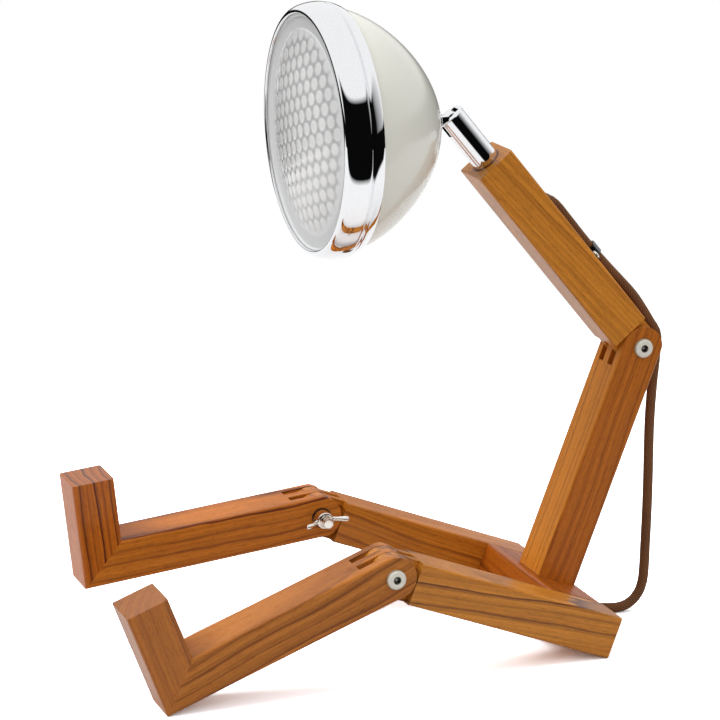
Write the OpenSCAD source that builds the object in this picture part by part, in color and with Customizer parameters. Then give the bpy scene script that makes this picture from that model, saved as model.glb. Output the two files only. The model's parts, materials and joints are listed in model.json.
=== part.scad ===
// Desk lamp in the form of a seated wooden figure with a headlamp for a head.
// Millimetres, +Z up. The figure faces -Y and its left side is +X. It sits on the rear edge
// of its seat and on its left heel, and the origin is on the floor under its middle.

/* [Wood] */
// Width of every beam, from side to side
beam_w = 30; // [28:1:34]
// Thickness of every beam
beam_t = 25; // [23:1:26]
// Rounding of the beams' long edges
edge_r = 1.5; // [0.5:0.5:2.5]

/* [Seat and legs] */
// Width of the seat over both thighs
seat_w = 152; // [140:2:170]
// Depth of the bar that joins the thighs at the back
hip_depth = 35; // [32:1:45]
// Back of the seat to the knee pins
thigh_reach = 145; // [130:1:160]
// Knee pin to the sole of the foot
shin_reach = 147; // [135:1:160]
// Height of a foot from heel to toe
foot_h = 63; // [50:1:75]
// Pitch of the seat, front edge up
seat_pitch = 21; // [16:1:24]
// Drop of the right shin below level
right_drop = 6; // [0:1:12]

/* [Back and arm] */
// Top of the seat to the waist pin
spine_reach = 147; // [130:1:160]
// Back of the seat to the back of the spine
spine_inset = 2.5; // [1:0.5:5]
// Waist pin to the top end of the arm
arm_reach = 149; // [140:1:156]
// Forward lean of the arm from upright
arm_lean = 39.5; // [36:0.5:42]

/* [Knuckles] */
// Diameter of the knee and waist bolts
bolt_d = 6; // [5:0.5:6]
// Thickness of a finger, three to a knuckle
finger_w = 6.2; // [5.8:0.1:6.4]
// Thickness of a tongue, two to a knuckle
tongue_w = 5.3; // [4.8:0.1:5.3]
// Diameter of the round bolt caps
cap_d = 11.2; // [10:0.2:13]
// Span of a wing nut over its wings
wing_span = 27; // [24:1:28]

/* [Neck] */
// Diameter of the neck rod
rod_d = 16; // [15:0.5:17]
// Length of the neck rod that shows above the arm
rod_show = 36; // [34:1:38]
// Width of the slot in the rod's end
rod_slot = 6.6; // [6.4:0.1:7]

/* [Head] */
// Widest diameter of the chromed rim
rim_d = 144; // [142:1:146]
// Diameter of the glass inside the rim's lip
glass_d = 132; // [131:0.5:133]
// Neck pin to the front of the rim
head_reach = 90; // [88:1:92]
// Downward pitch of the head
head_pitch = 1; // [0:1:5]
// Thickness of the bowl's sheet
sheet = 1.2; // [1:0.1:1.4]

/* [Cord] */
// Diameter of the round fabric cord
cord_d = 6; // [5:0.5:6]

/* [Hidden] */
$fn = 48;

wood = "#b0703a";
wood_dark = "#8a4a24";
wood_light = "#c88a4c";
nickel = "#dcdcd2";
chrome = "#d2d6da";
cream = "#d8d8c6";
cord_brown = "#5f3c2d";
plug_black = "#1e1c1b";

half_w = beam_w / 2;
half_t = beam_t / 2;
fit = 0.05;                 // radial clearance of a pin in its bore
free = 0.3;                 // clearance between curved faces that pass each other
eps = 0.5;                  // how far a cutter runs past what it cuts

// Where the joints are. The seat's rear bottom edge is seat_back behind the origin.
seat_back = 113;
thigh_x = (seat_w - beam_w) / 2;
knee_y = seat_back - thigh_reach * cos(seat_pitch) + half_t * sin(seat_pitch);
knee_z = thigh_reach * sin(seat_pitch) + half_t * cos(seat_pitch);
left_drop = asin(knee_z / norm([shin_reach, half_t])) - atan(half_t / shin_reach);
spine_y = spine_inset + half_t;
waist_up = beam_t + spine_reach;
waist_y = seat_back - spine_y * cos(seat_pitch) + waist_up * sin(seat_pitch);
waist_z = spine_y * sin(seat_pitch) + waist_up * cos(seat_pitch);
pin_down = 4;               // neck pin below the rod's end
rod_end = arm_reach + rod_show;
neck_reach = rod_end - pin_down;
head_y = waist_y - neck_reach * sin(arm_lean);
head_z = waist_z + neck_reach * cos(arm_lean);

// Knuckle: fingers and tongues turn on one bolt. A finger's end is half round.
shoulder = half_t + 0.5;    // pin to the square shoulder behind the tongues
slot_depth = 16;            // pin to the bottom of the slots between the fingers
slot_w = (beam_w - 3 * finger_w) / 2;
slot_x = (finger_w + slot_w) / 2;
tongue_r = half_t - 0.2;
washer_t = 1;
washer_d = 12;
nut_h = 6.5;
wing_rise = 9.5;            // nut's seat to the middle of the wings' ends
cap_h = 2.4;
nut_recess = 1.2;           // depth of the bolt's end below the nut's face
bolt_len = beam_w + washer_t + nut_h - nut_recess;
dowel_d = 7.9;
dowel_len = 28;
screw_d = 4;
screw_len = 52;

// Neck rod and stem
rod_shank = 25;             // length of the rod inside the arm
wire_d = 7.6;               // wire channel through the arm
wire_end = 112;             // where the wire channel ends, from the waist pin
slot_front = 9.7;           // depth of the slot from the rod's end
slot_back = 5.6;            // rod's axis to the closed back of the slot
eye_r = 5;
stem_w = 6;
flange_d = 15;
flange_t = 1.4;
pin_d = 3;

// Head, along its own axis from the neck pin
apex = 10.7;                // neck pin to the back of the bowl
bowl_d = 138;
rim_back = head_reach - 22.3;
bowl_lip = rim_back + 6;
bowl_len = bowl_lip - apex;
pad_r = 7.6;                // flat of the bowl's back, where the stem seats
rim_wide = head_reach - 13;
screw_z = rim_back + 3.4;   // screw that holds the rim to the bowl
groove_z = rim_wide - 2.2;
mirror_d = 126;             // mouth of the reflector
mirror_z = head_reach - 8;
mirror_apex = 34;
holder_d = 26;
bulb_r = 14;
bulb_z = 58;

// Cord: points along the run that isn't coiled, from inside the arm to the coil
cord_route = [
    [0, 88, 264], [0, 102.2, 257], [0, 109, 253], [0, 116.8, 243.9], [0, 125, 233.8],
    [0, 133.4, 223.8], [0, 142.8, 213.5], [0, 151.8, 204], [0, 160.5, 194.5],
    [0, 167.5, 184.5], [0, 172, 177.3], [0, 175.3, 172.5], [0, 176.7, 167], [0, 176, 155],
    [0, 174.8, 142], [0.5, 173.6, 128], [1, 172.8, 113], [1.5, 172.5, 98], [2.2, 172.2, 83],
    [2.8, 171.8, 68], [3.4, 171.2, 53], [3.8, 170.6, 40], [4, 170.2, 28], [4, 169.3, 18],
    [4, 166.5, 10.5], [4, 161, 5.2], [3.8, 154, 3], [2, 145.5, 3], [-3.5, 138, 3],
    [-13, 133, 3], [-28, 131.5, 3], [-46, 131.5, 3], [-64, 131.5, 3], [-70.1, 130.3, 3],
    [-75.3, 126.8, 3], [-78.8, 121.6, 3], [-80, 115.5, 3.1], [-80, 104, 3.5], [-80, 93, 3.7],
    [-80, 86, 3.7]
];
tail_route = [
    [-80, 74, 10.15], [-80, 72, 10.15], [-79.8, 68, 9.7], [-79.5, 64, 8.6], [-79.2, 60, 7.5],
    [-79, 56, 7], [-79, 54, 7]
];
tail_end = tail_route[len(tail_route) - 1];

// Coil: two layers, spiralling in below and out above, climbing where the spiral reverses
coil_at = [-121, 80, 3.7];
coil_turns = 7;
coil_r = 41;                // outermost turn, at the middle of the cord
coil_pitch = cord_d + 0.45;
coil_rings = 24;
coil_steps = coil_turns * coil_rings;
coil_r0 = coil_r - coil_pitch * coil_turns / 2;
coil_wound = [for (i = [0 : coil_steps]) let (
        turn = i / coil_rings - coil_turns / 2,
        r = coil_r0 + coil_pitch * abs(turn),
        a = -360 * i / coil_rings,
        climb = min(max(turn * 2 + 0.5, 0), 1)
    ) coil_at + [r * cos(a), r * sin(a), coil_pitch * climb]];
coil_path = concat(
    [coil_wound[0] + [0, cord_d, 0]], coil_wound, [coil_wound[coil_steps] - [0, cord_d, 0]]);
coil_gap = min([for (i = [0 : coil_steps - 19], j = [i + 18 : coil_steps])
        norm(coil_wound[i] - coil_wound[j])]) - cord_d;
function path_length(p) = path_sum(p, len(p) - 1);
function path_sum(p, i) = i == 0 ? 0 : norm(p[i] - p[i - 1]) + path_sum(p, i - 1);
cord_total = path_length(cord_route) + path_length(coil_path) + path_length(tail_route);
echo(coil_gap_mm = coil_gap, cord_length_mm = cord_total, left_drop_deg = left_drop,
    knee = [knee_y, knee_z], waist = [waist_y, waist_z], neck = [head_y, head_z]);

// Plug, lying flat on the floor and pointing along -Y from the end of the cord
relief_len = 22;
plug_len = 34;
plug_w = 26;
plug_h = 14;
prong_len = 19;
prong_d = 4;
prong_gap = 18.6;

// ---------------------------------------------------------------- shapes

function unit(v) = v / norm(v);
function tangent(p, i) = unit(p[min(i + 1, len(p) - 1)] - p[max(i - 1, 0)]);
function square_to(v, t) = unit(v - (v * t) * t);
function normals(p, n0) = [
    for (i = 0, n = square_to(n0, tangent(p, 0)); i < len(p);
        i = i + 1, n = i < len(p) ? square_to(n, tangent(p, i)) : n) n];

// Closed tube of one cord along the points of a path
module tube(path, d, sides, n0) {
    ns = normals(path, n0);
    last = len(path) - 1;
    points = [for (i = [0 : last], k = [0 : sides - 1]) let (
            b = cross(tangent(path, i), ns[i]), a = 360 * k / sides
        ) path[i] + d / 2 * (cos(a) * ns[i] + sin(a) * b)];
    sleeve = [for (i = [0 : last - 1], k = [0 : sides - 1], half = [0, 1]) let (
            a = i * sides + k, b = i * sides + (k + 1) % sides
        ) half == 0 ? [a, a + sides, b] : [b, a + sides, b + sides]];
    start_cap = [for (k = [1 : sides - 2]) [0, k, k + 1]];
    end_cap = [for (k = [1 : sides - 2]) [last * sides, last * sides + k + 1, last * sides + k]];
    polyhedron(points, concat(sleeve, start_cap, end_cap));
}

// Outline of a beam's section with rounded corners, from a width and a height
function section(w, h) = [
    for (c = [[1, 1, 0], [-1, 1, 90], [-1, -1, 180], [1, -1, 270]], i = [0 : 3])
        let (a = c[2] + 30 * i)
        [c[0] * (w / 2 - edge_r) + edge_r * cos(a), c[1] * (h / 2 - edge_r) + edge_r * sin(a)]];

// Straight beam from y = 0 to y = -length, centred on x and z
module stock(length) rotate([90, 0, 0]) linear_extrude(length) polygon(section(beam_w, beam_t));

// Round bar along X, centred on x
module cross_bar(length, d) rotate([0, 90, 0]) cylinder(h = length, d = d, center = true);

// Beam whose pin end, at the origin, has three fingers. It runs along -Y.
module finger_beam(length) difference() {
    intersection() {
        translate([0, half_t + eps, 0]) stock(length + half_t + eps);
        union() {
            cross_bar(beam_w + 2 * eps, beam_t);
            translate([-beam_w, -length - eps, -beam_t]) cube([2 * beam_w, length + eps, 2 * beam_t]);
        }
    }
    for (side = [-1, 1]) translate([side * slot_x - slot_w / 2, -slot_depth, -beam_t])
        cube([slot_w, slot_depth + beam_t, 2 * beam_t]);
    cross_bar(2 * beam_w, bolt_d + 2 * fit);
}

// Beam whose pin end, at the origin, has two tongues. It runs along -Y.
module tongue_beam(length) difference() {
    union() {
        translate([0, -shoulder, 0]) stock(length - shoulder);
        for (side = [-1, 1]) translate([side * slot_x, 0, 0]) {
            cross_bar(tongue_w, 2 * tongue_r);
            translate([-tongue_w / 2, -shoulder - 1, -tongue_r])
                cube([tongue_w, shoulder + 1, 2 * tongue_r]);
        }
    }
    cross_bar(2 * beam_w, bolt_d + 2 * fit);
}

// ---------------------------------------------------------------- frames

// Seat: origin at its rear bottom edge, front towards -Y
module in_seat() translate([0, seat_back, 0]) rotate([-seat_pitch, 0, 0]) children();
// A leg below the knee: origin on the knee pin, foot towards -Y
module in_shin(side) translate([side * thigh_x, knee_y, knee_z])
    rotate([side > 0 ? left_drop : right_drop, 0, 0]) children();
// Spine: origin on the waist pin, seat towards -Y
module in_spine() in_seat() translate([0, -spine_y, waist_up]) rotate([90, 0, 0]) children();
// Arm: origin on the waist pin, Z along the arm, Y towards its back
module in_arm() translate([0, waist_y, waist_z]) rotate([arm_lean, 0, 0]) children();
// Head: origin on the neck pin, Z out of the glass, Y up
module in_head() translate([0, head_y, head_z]) rotate([90 + head_pitch, 0, 0]) children();

// ---------------------------------------------------------------- seat

module dowel_rows() for (side = [-1, 1], y = [-10, -25])
    translate([side * (seat_w / 2 - beam_w), y, half_t]) children();

module seat_dowels() color(wood_light) in_seat() dowel_rows() cross_bar(dowel_len, dowel_d);

module screw_row() for (side = [-1, 1]) translate([side * 8, -spine_y, 0]) children();

module thigh(side) in_seat() difference() {
    translate([side * thigh_x, -thigh_reach, half_t]) rotate([0, 0, 180]) tongue_beam(thigh_reach);
    dowel_rows() cross_bar(dowel_len + 0.4, dowel_d + 2 * fit);
}

module thigh_left() color(wood) thigh(1);
module thigh_right() color(wood) thigh(-1);

module hip_bar() color(wood) in_seat() difference() {
    translate([-seat_w / 2 + beam_w, -hip_depth / 2, half_t]) rotate([90, 0, 90])
        linear_extrude(seat_w - 2 * beam_w) polygon(section(hip_depth, beam_t));
    dowel_rows() cross_bar(dowel_len + 0.4, dowel_d + 2 * fit);
    screw_row() {
        translate([0, 0, -eps]) cylinder(h = beam_t + 2 * eps, d = screw_d + 4 * fit);
        translate([0, 0, -eps]) cylinder(h = 3.2 + eps, d1 = 2 * screw_d + 1.5, d2 = screw_d);
    }
}

module spine_screws() color(nickel) in_seat() screw_row() {
    translate([0, 0, 0.4]) cylinder(h = screw_len, d = screw_d);
    translate([0, 0, 0.4]) cylinder(h = 2.2, d1 = 2 * screw_d, d2 = screw_d);
}

module spine() color(wood_dark) difference() {
    in_spine() finger_beam(spine_reach);
    in_seat() screw_row() translate([0, 0, beam_t - eps])
        cylinder(h = screw_len - beam_t + 2, d = screw_d + 2 * fit);
}

// ---------------------------------------------------------------- fasteners

// Bolt along -X from the origin, with a round cap and a hexagon socket on +X
module cap_bolt() difference() {
    rotate([0, 90, 0]) {
        cylinder(h = cap_h - 0.8, d = cap_d);
        translate([0, 0, cap_h - 0.8]) cylinder(h = 0.8, d1 = cap_d, d2 = cap_d - 2);
        translate([0, 0, -bolt_len]) cylinder(h = bolt_len, d = bolt_d);
    }
    translate([cap_h - 1.8, 0, 0]) rotate([0, 90, 0]) cylinder(h = 2.5, d = 4.6, $fn = 6);
}

// Washer whose near face is at x = 0, towards -X
module washer() translate([-washer_t, 0, 0]) rotate([0, 90, 0]) difference() {
    cylinder(h = washer_t, d = washer_d);
    translate([0, 0, -eps]) cylinder(h = washer_t + 2 * eps, d = bolt_d + 0.4);
}

// Wing nut towards -X, with its seat at x = 0 and its wings along Y, bent outwards
module wing_nut() rotate([0, -90, 0]) difference() {
    union() {
        cylinder(h = nut_h - 0.8, d1 = 11, d2 = 9.8);
        translate([0, 0, nut_h - 0.8]) cylinder(h = 0.8, d1 = 9.8, d2 = 8.4);
        for (side = [-1, 1]) hull() {
            translate([0, side * 3.8, 3]) cube([3, 1, 4], center = true);
            translate([0, side * (wing_span / 2 - 2.5), wing_rise]) rotate([0, 90, 0])
                cylinder(h = 2.6, d = 5, center = true, $fn = 24);
        }
    }
    translate([0, 0, -eps]) cylinder(h = nut_h + 4, d = bolt_d + 2 * fit);
}

// What sits on a knuckle's bolt, from its cap side. The beams are half_w to each side.
module on_cap_side() translate([half_w, 0, 0]) children();
module on_nut_side() translate([-half_w, 0, 0]) children();
// Outwards is the cap's side on both knees
module in_knee(side) in_shin(side) mirror([side > 0 ? 0 : 1, 0, 0]) children();

module waist_bolt() color(nickel) in_spine() on_cap_side() cap_bolt();
module waist_washer() color(nickel) in_spine() on_nut_side() washer();
module waist_wing() color(nickel) in_spine() on_nut_side() translate([-washer_t, 0, 0]) wing_nut();

module knee_bolt_left() color(nickel) in_knee(1) on_cap_side() cap_bolt();
module knee_washer_left() color(nickel) in_knee(1) on_nut_side() washer();
module knee_wing_left() color(nickel) in_knee(1) on_nut_side() translate([-washer_t, 0, 0])
    wing_nut();

module knee_bolt_right() color(nickel) in_knee(-1) on_cap_side() cap_bolt();
module knee_washer_right() color(nickel) in_knee(-1) on_nut_side() washer();
module knee_wing_right() color(nickel) in_knee(-1) on_nut_side() translate([-washer_t, 0, 0])
    wing_nut();

// ---------------------------------------------------------------- shins and feet

// Wedge that is kept above or below the mitre at the heel, wide enough for any beam
module mitre(corners) translate([-beam_w, 0, 0]) rotate([90, 0, 90])
    linear_extrude(2 * beam_w) polygon(corners);

module shin(side) in_shin(side) difference() {
    finger_beam(shin_reach);
    mitre([[-shin_reach, -half_t], [-shin_reach + beam_t + 4, half_t + 4],
        [-shin_reach - 5, half_t + 4], [-shin_reach - 5, -half_t]]);
}

module foot(side) in_shin(side) difference() {
    translate([0, -shin_reach + half_t, -half_t]) rotate([-90, 0, 0]) stock(foot_h);
    mitre([[-shin_reach, -half_t], [-shin_reach + beam_t + 4, half_t + 4],
        [-shin_reach + beam_t + 4, -half_t - 4], [-shin_reach, -half_t - 4]]);
}

module shin_left() color(wood_dark) shin(1);
module foot_left() color(wood) foot(1);
module shin_right() color(wood_dark) shin(-1);
module foot_right() color(wood) foot(-1);

// ---------------------------------------------------------------- arm and neck

clip_z = 62;                // clip on the arm's back, from the waist pin
clip_y = 15.8;              // middle of the cord there, from the arm's axis
clip_w = 7;
clip_tab = 12;              // reach of the clip's tab to its screw side
clip_screw_x = 8.2;

// Slanted hole along the first points of the cord
module cord_hole() translate([0, 6, 122]) rotate([-155, 0, 0])
    translate([0, 0, -4]) cylinder(h = 34, d = cord_d + 1.6);

module upper_beam() color(wood) in_arm() difference() {
    rotate([-90, 0, 0]) tongue_beam(arm_reach);
    translate([0, 0, arm_reach - rod_shank]) cylinder(h = rod_shank + eps, d = rod_d + 2 * fit);
    translate([0, 0, wire_end]) cylinder(h = arm_reach - wire_end, d = wire_d);
    cord_hole();
    translate([clip_screw_x, half_t + eps, clip_z]) rotate([90, 0, 0])
        cylinder(h = 8.6 + eps, d = 2.8 + 2 * fit);
}

module cord_clip() color(nickel) in_arm() difference() {
    union() {
        translate([0, clip_y, clip_z]) cylinder(h = clip_w, r = 4.1, center = true);
        translate([-4.1, half_t, clip_z - clip_w / 2]) cube([8.2, clip_y - half_t, clip_w]);
        translate([0, half_t, clip_z - clip_w / 2]) cube([clip_tab, 0.8, clip_w]);
    }
    translate([0, clip_y, clip_z]) cylinder(h = clip_w + 2, r = 3.3, center = true);
    translate([-3.3, half_t - 2, clip_z - clip_w]) cube([6.6, clip_y - half_t + 2, 2 * clip_w]);
    translate([clip_screw_x, half_t, clip_z]) rotate([90, 0, 0])
        cylinder(h = 4, d = 3, center = true);
}

module clip_screw() color(nickel) in_arm() translate([clip_screw_x, half_t + 0.8, clip_z])
    rotate([-90, 0, 0]) {
        cylinder(h = 1, d = 5.4);
        translate([0, 0, 1]) cylinder(h = 0.7, d1 = 5.4, d2 = 4);
        translate([0, 0, -9]) cylinder(h = 9, d = 2.8);
    }

module neck_rod() color(chrome) in_arm() difference() {
    translate([0, 0, arm_reach - rod_shank + 1]) cylinder(h = rod_shank - 1 + rod_show, d = rod_d);
    translate([0, 0, arm_reach - rod_shank]) cylinder(h = rod_shank + rod_show - slot_front, d = 6);
    translate([-rod_slot / 2, -rod_d, rod_end - slot_front])
        cube([rod_slot, rod_d + slot_back, slot_front + eps]);
    translate([0, 0, neck_reach]) cross_bar(2 * rod_d, pin_d + 2 * fit);
}

module knuckle_pin() color(chrome) in_arm() translate([0, 0, neck_reach])
    cross_bar(rod_d - 0.3, pin_d);

// ---------------------------------------------------------------- head

// Radius of the bowl's outside at a height above its apex
function bowl_r(h, d, length) = d / 2 * pow(1 - pow(1 - h / length, 1.6), 0.565);
function bowl_side(d, length, start) = concat(
    [[0, start], [pad_r, start], [pad_r + 2.2, start + 0.75]],
    [for (i = [2 : 12]) let (h = length * pow(i / 12, 1.7)) [bowl_r(h, d, length), start + h]]);
function backwards(list) = [for (i = [len(list) - 1 : -1 : 0]) list[i]];

module bowl() color(cream) in_head() difference() {
    rotate_extrude($fn = 96) polygon(concat(
        bowl_side(bowl_d, bowl_len, apex),
        backwards(bowl_side(bowl_d - 2 * sheet, bowl_len - sheet, apex + sheet))));
    translate([0, 0, apex - eps]) cylinder(h = 3, d = 6.2);
    translate([0, -bowl_d / 2 - 1, screw_z]) rotate([-90, 0, 0]) cylinder(h = 4, d = 3);
}

module head_stem() color(chrome) in_head() difference() {
    union() {
        cross_bar(stem_w, 2 * eye_r);
        translate([-stem_w / 2, -stem_w / 2, 0]) cube([stem_w, stem_w, apex - flange_t + eps]);
        translate([0, 0, apex - flange_t]) cylinder(h = flange_t, d = flange_d);
        translate([0, 0, apex - eps]) cylinder(h = 9, d = 6);
    }
    cross_bar(2 * stem_w, pin_d + 2 * fit);
}

module stem_nut() color(nickel) in_head() translate([0, 0, apex + sheet]) difference() {
    cylinder(h = 4.5, d = 11, $fn = 6);
    translate([0, 0, -eps]) cylinder(h = 6, d = 6.2);
}

// Rim: a convex front band, a groove and a narrow rear band, of one turned sheet
front_band = [for (a = [0 : 15 : 90]) [
    glass_d / 2 + 1 + (rim_d / 2 - glass_d / 2 - 1) * sin(a),
    rim_wide + (head_reach - rim_wide) * cos(a)]];
rear_band = [
    [rim_d / 2 - 0.1, groove_z + 0.8], [rim_d / 2 - 1.3, groove_z + 0.4],
    [rim_d / 2 - 1.3, groove_z - 0.3], [rim_d / 2 - 0.5, groove_z - 0.8],
    [rim_d / 2 - 0.2, groove_z - 1.8], [rim_d / 2 - 0.4, groove_z - 4],
    [rim_d / 2 - 1.2, groove_z - 6], [rim_d / 2 - 2.4, rim_back], [rim_d / 2 - 2.9, rim_back]];
rim_inside = [
    [rim_d / 2 - 2.9, rim_wide], [rim_d / 2 - 3.4, rim_wide + 7],
    [rim_d / 2 - 4.4, head_reach - 1.4], [glass_d / 2, head_reach - 1.4],
    [glass_d / 2, head_reach]];

module rim() color(chrome) in_head() difference() {
    rotate_extrude($fn = 120) polygon(concat(front_band, rear_band, rim_inside));
    translate([0, -rim_d / 2 - 1, screw_z]) rotate([-90, 0, 0]) {
        cylinder(h = 6, d = 3.2);
        cylinder(h = 2.6, d = 5.8);
    }
}

module rim_screw() color(nickel) in_head() translate([0, -rim_d / 2 + 0.4, screw_z])
    rotate([-90, 0, 0]) {
        cylinder(h = 1, d = 5.2);
        translate([0, 0, 1]) cylinder(h = 4.6, d = 2.8);
    }

module gasket() color("#2a2826") in_head() translate([0, 0, mirror_z + 0.9])
    rotate_extrude($fn = 96) translate([64.2, 0]) square([2.6, 2.2]);

// Lens: a flat border that the rim's lip holds, and a shallow dome inside it
lens_back = mirror_z + 3.2;
lens_face = head_reach - 2.6;
lens_dome = 6.4;
dome_r = 57.5;
function dome(start, r) = start + lens_dome * (1 - pow(r / dome_r, 2));
module lens() color([0.86, 0.88, 0.88, 0.6]) in_head() rotate_extrude($fn = 96) polygon(concat(
    [for (i = [0 : 8]) let (r = dome_r * i / 8) [r, dome(lens_back, r)]],
    [[67, lens_back], [67, head_reach - 1.6], [glass_d / 2 - 0.6, head_reach - 1.6],
        [glass_d / 2 - 1.2, lens_face]],
    [for (i = [8 : -1 : 0]) let (r = dome_r * i / 8) [r, dome(lens_face, r)]]));

// Reflector: a paraboloid of thin sheet with a flange under the gasket
function dish(r) = mirror_apex + (mirror_z - mirror_apex) * pow(2 * r / mirror_d, 2);
module reflector() color("#e6e6e4") in_head() rotate_extrude($fn = 96) polygon(concat(
    [for (i = [0 : 8]) let (r = 14 + (mirror_d / 2 - 14) * i / 8) [r, dish(r)]],
    [[67, mirror_z], [67, mirror_z + 0.8], [mirror_d / 2 - 0.8, mirror_z + 0.8]],
    [for (i = [8 : -1 : 0]) let (r = 14 + (mirror_d / 2 - 14.8) * i / 8) [r, dish(r) + 0.9]]));

module lamp_holder() color("#e4e0d6") in_head() {
    translate([0, 0, 20]) cylinder(h = 14, d = holder_d - 4);
    translate([0, 0, 33.5]) cylinder(h = 1.8, d = 31);
    translate([0, 0, 35.3]) cylinder(h = 4, d = holder_d);
}

module bulb() color([0.95, 0.93, 0.86, 0.8]) in_head() {
    translate([0, 0, 39.3]) cylinder(h = 6, d = 14);
    translate([0, 0, 45.3]) cylinder(h = 4, d1 = 14, d2 = 22);
    translate([0, 0, bulb_z]) sphere(r = bulb_r);
}

// ---------------------------------------------------------------- cord and plug

module cord() color(cord_brown) tube(cord_route, cord_d, 10, [1, 0, 0]);
module cord_coil() color(cord_brown) tube(coil_path, cord_d, 6, [0, 0, 1]);
module cord_tail() color(cord_brown) tube(tail_route, cord_d, 10, [0, 0, 1]);

// Flat strap round the coil's turns, at the side where the spiral reverses
tie_in = coil_r0 - cord_d / 2 - 1;
tie_out = coil_r0 + 3 * coil_pitch + cord_d / 2 + 0.3;
tie_top = coil_at[2] + coil_pitch + cord_d / 2 + 0.2;
module coil_tie() color("#2c2a28") translate([coil_at[0], coil_at[1], 0]) difference() {
    translate([-tie_out - 0.6, -5, 0]) cube([tie_out - tie_in + 1.2, 10, tie_top + 0.6]);
    translate([-tie_out, -6, 0.6]) cube([tie_out - tie_in, 12, tie_top - 0.6]);
}

module in_plug() translate(tail_end) rotate([0, 0, -90]) children();

module plug_body() color(plug_black) in_plug() {
    rotate([0, 90, 0]) cylinder(h = relief_len + 1, d1 = 7.6, d2 = 10.4);
    translate([relief_len, -plug_w / 2 + 3, -plug_h / 2]) cube([plug_len, plug_w - 6, plug_h]);
    translate([relief_len + 4, -plug_w / 2, -plug_h / 2 + 1.5])
        cube([plug_len - 4, plug_w, plug_h - 3]);
}

module plug_pins() color("#c8b06a") in_plug() for (side = [-1, 1])
    translate([relief_len + plug_len, side * prong_gap / 2, 0]) rotate([0, 90, 0]) {
        cylinder(h = prong_len - 1, d = prong_d);
        translate([0, 0, prong_len - 1]) cylinder(h = 1, d1 = prong_d, d2 = prong_d - 1);
    }

hip_bar();
thigh_left();
thigh_right();
seat_dowels();
spine();
spine_screws();
waist_bolt();
waist_washer();
waist_wing();
shin_left();
foot_left();
knee_bolt_left();
knee_washer_left();
knee_wing_left();
shin_right();
foot_right();
knee_bolt_right();
knee_washer_right();
knee_wing_right();
upper_beam();
cord_clip();
clip_screw();
neck_rod();
knuckle_pin();
head_stem();
stem_nut();
bowl();
rim();
rim_screw();
gasket();
lens();
reflector();
lamp_holder();
bulb();
cord();
cord_coil();
cord_tail();
coil_tie();
plug_body();
plug_pins();
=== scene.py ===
"""Looks of a desk lamp in the form of a seated wooden figure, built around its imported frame."""

import json
import math

import bpy
import numpy as np
from mathutils import Euler, Matrix, Vector

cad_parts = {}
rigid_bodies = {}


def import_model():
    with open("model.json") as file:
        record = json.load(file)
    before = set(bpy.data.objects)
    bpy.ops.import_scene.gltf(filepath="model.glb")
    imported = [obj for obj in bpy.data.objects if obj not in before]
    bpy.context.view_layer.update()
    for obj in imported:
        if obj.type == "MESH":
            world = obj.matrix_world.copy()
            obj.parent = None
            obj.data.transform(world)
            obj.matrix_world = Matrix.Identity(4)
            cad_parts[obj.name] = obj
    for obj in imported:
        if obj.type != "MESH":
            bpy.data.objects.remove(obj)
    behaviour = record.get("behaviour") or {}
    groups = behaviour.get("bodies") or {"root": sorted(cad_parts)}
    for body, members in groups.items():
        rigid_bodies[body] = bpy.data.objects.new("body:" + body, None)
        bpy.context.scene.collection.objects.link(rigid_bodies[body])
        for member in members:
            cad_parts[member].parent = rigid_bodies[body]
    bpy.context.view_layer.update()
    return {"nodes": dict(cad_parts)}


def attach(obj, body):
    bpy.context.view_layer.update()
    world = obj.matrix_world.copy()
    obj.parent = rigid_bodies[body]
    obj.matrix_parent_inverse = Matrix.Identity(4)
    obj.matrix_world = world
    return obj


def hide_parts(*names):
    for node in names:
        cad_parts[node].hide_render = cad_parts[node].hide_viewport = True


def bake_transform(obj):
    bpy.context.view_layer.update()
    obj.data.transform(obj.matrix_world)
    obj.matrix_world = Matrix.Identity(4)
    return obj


for leftover in list(bpy.data.objects):
    bpy.data.objects.remove(leftover)
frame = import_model()
nodes = frame["nodes"]
scene = bpy.context.scene
scene.view_settings.view_transform = "Standard"

# ------------------------------------------------------------------ camera

# Solved from the photograph's corners and outlines: the turn from looking along +Y, the place in
# metres, and the focal length and sensor width in millimetres
AZIMUTH, ELEVATION = math.radians(69.46), math.radians(14.47)
CAMERA_AT = (1.5515, -0.5921, 0.5981)
FOCAL_LENGTH, SENSOR = 150, 36
NEAREST = 0.02

right = Vector((math.cos(AZIMUTH), math.sin(AZIMUTH), 0))
back = Vector((
    math.sin(AZIMUTH) * math.cos(ELEVATION),
    -math.cos(AZIMUTH) * math.cos(ELEVATION),
    math.sin(ELEVATION),
))
camera_data = bpy.data.cameras.new("camera")
camera_data.lens = FOCAL_LENGTH
camera_data.sensor_width = SENSOR
camera_data.clip_start = NEAREST
camera = bpy.data.objects.new("camera", camera_data)
scene.collection.objects.link(camera)
camera.matrix_world = (
    Matrix.Translation(CAMERA_AT)
    @ Matrix((right, back.cross(right), back)).transposed().to_4x4()
)
scene.camera = camera

# ------------------------------------------------------------------ where things are, in metres

QUARTER = math.pi / 2
SEAT_PITCH = math.radians(21)
SEAT_BACK = 0.113
LEFT_DROP, RIGHT_DROP = math.radians(20.6911), math.radians(6)
ARM_LEAN = math.radians(39.5)
HEAD_PITCH = math.radians(1)
KNEE = Vector((0.061, -0.01789, 0.06363))
RIGHT_KNEE = Vector((-KNEE.x, KNEE.y, KNEE.z))
WAIST = Vector((0, 0.160636, 0.165951))
NECK = Vector((0, 0.045505, 0.305615))


def frame_at(origin, angle):
    """Matrix of a frame at origin, turned about +X."""
    return Matrix.Translation(origin) @ Matrix.Rotation(angle, 4, "X")


ARM = frame_at(WAIST, ARM_LEAN)
HEAD = frame_at(NECK, QUARTER + HEAD_PITCH)

# ------------------------------------------------------------------ mesh helpers


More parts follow.
